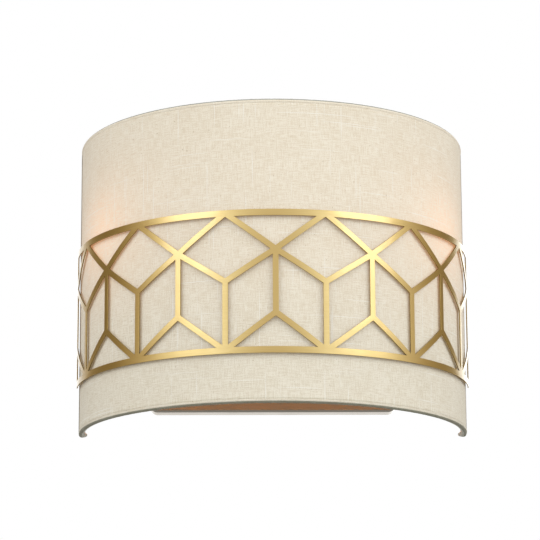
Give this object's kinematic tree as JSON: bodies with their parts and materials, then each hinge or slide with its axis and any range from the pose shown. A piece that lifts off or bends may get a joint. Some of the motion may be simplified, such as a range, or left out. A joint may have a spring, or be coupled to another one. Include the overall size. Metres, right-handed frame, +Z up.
{
  "type": "wall light",
  "caption": "Half-drum linen shade wall light with a cut-out lattice metal band, two lamps lying level and a pressed steel back pan.",
  "frame": {"origin": "middle of the mounting bar's wall side, midway between its junction box slots, on the wall plane", "axes": "+Z up, +Y into the wall, so the light faces -Y, and +X to the right for someone facing it"},
  "size_m": [0.3342, 0.1678, 0.252],
  "materials": {
    "linen": "slubby natural linen",
    "liner": "white styrene",
    "trim_tape": "folded linen tape",
    "frame_wire": "drawn wire",
    "satin_brass": "satin champagne",
    "rivet_brass": "plain",
    "pan_finish": "satin nickel plated",
    "zinc_steel": "zinc plated",
    "brass_hardware": "satin",
    "green_screw": "green",
    "porcelain": "glazed white",
    "sleeve_aluminium": "drawn",
    "cap_metal": "nickel plated",
    "tip_black": "vitreous black",
    "opal_glass": "opal",
    "lead_insulation": "white",
    "block_nylon": "natural nylon",
    "bushing_nylon": "black nylon"
  },
  "bodies": {
    "fixture": {"shade_fabric": "linen", "shade_liner": "liner", "top_hem": "trim_tape", "bottom_hem": "trim_tape", "top_ring_wire": "frame_wire", "bottom_ring_wire": "frame_wire", "lattice_band": "satin_brass", "band_rivets": "rivet_brass", "back_plate": "pan_finish", "mounting_bar": "zinc_steel", "pan_screws": "zinc_steel", "cap_nuts": "brass_hardware", "ground_screw": "green_screw", "lamp_bracket": "pan_finish", "bracket_screws": "zinc_steel", "wire_bushing": "bushing_nylon", "socket_nipples": "zinc_steel", "nipple_nuts": "zinc_steel", "terminal_block": "block_nylon", "shade_studs": "zinc_steel", "upper_strap": "pan_finish", "lower_strap": "pan_finish", "side_hem_left": "trim_tape", "end_wire_left": "frame_wire", "socket_left": "porcelain", "screw_shell_left": "sleeve_aluminium", "centre_contact_left": "brass_hardware", "lead_left": "lead_insulation", "side_hem_right": "trim_tape", "end_wire_right": "frame_wire", "socket_right": "porcelain", "screw_shell_right": "sleeve_aluminium", "centre_contact_right": "brass_hardware", "lead_right": "lead_insulation"},
    "lamp_left_travel": {"bulb_tip_left": "tip_black"},
    "lamp_left": {"bulb_cap_left": "cap_metal", "bulb_glass_left": "opal_glass"},
    "lamp_right_travel": {"bulb_tip_right": "tip_black"},
    "lamp_right": {"bulb_cap_right": "cap_metal", "bulb_glass_right": "opal_glass"},
    "nut_upper_travel": {"washer_upper": "zinc_steel"},
    "nut_upper": {"thumb_nut_upper": "brass_hardware"},
    "nut_lower_travel": {"washer_lower": "zinc_steel"},
    "nut_lower": {"thumb_nut_lower": "brass_hardware"}
  },
  "joints": [
    {"name": "lamp_left_out", "type": "slide", "parent": "fixture", "child": "lamp_left_travel", "axis": [-1, 0, 0], "range_m": [0, 0.011]},
    {"name": "lamp_left_turn", "type": "hinge", "parent": "lamp_left_travel", "child": "lamp_left", "pos_m": [-0.029, -0.058, 0.01], "axis": [-1, 0, 0], "range_deg": [0, 1080]},
    {"name": "lamp_right_out", "type": "slide", "parent": "fixture", "child": "lamp_right_travel", "axis": [1, 0, 0], "range_m": [0, 0.011]},
    {"name": "lamp_right_turn", "type": "hinge", "parent": "lamp_right_travel", "child": "lamp_right", "pos_m": [0.029, -0.058, 0.01], "axis": [1, 0, 0], "range_deg": [0, 1080]},
    {"name": "nut_upper_out", "type": "slide", "parent": "fixture", "child": "nut_upper_travel", "axis": [0, -1, 0], "range_m": [0, 0.0096]},
    {"name": "nut_upper_turn", "type": "hinge", "parent": "nut_upper_travel", "child": "nut_upper", "pos_m": [0, -0.0173, 0.075], "axis": [0, -1, 0], "range_deg": [0, 4320]},
    {"name": "nut_lower_out", "type": "slide", "parent": "fixture", "child": "nut_lower_travel", "axis": [0, -1, 0], "range_m": [0, 0.0096]},
    {"name": "nut_lower_turn", "type": "hinge", "parent": "nut_lower_travel", "child": "nut_lower", "pos_m": [0, -0.0173, -0.075], "axis": [0, -1, 0], "range_deg": [0, 4320]}
  ],
  "couplings": [
    {"joint": "lamp_left_out", "follows": "lamp_left_turn", "m_per_rad": 0.00057773},
    {"joint": "lamp_right_out", "follows": "lamp_right_turn", "m_per_rad": 0.00057773},
    {"joint": "nut_upper_out", "follows": "nut_upper_turn", "m_per_rad": 0.00012633},
    {"joint": "nut_lower_out", "follows": "nut_lower_turn", "m_per_rad": 0.00012633}
  ]
}
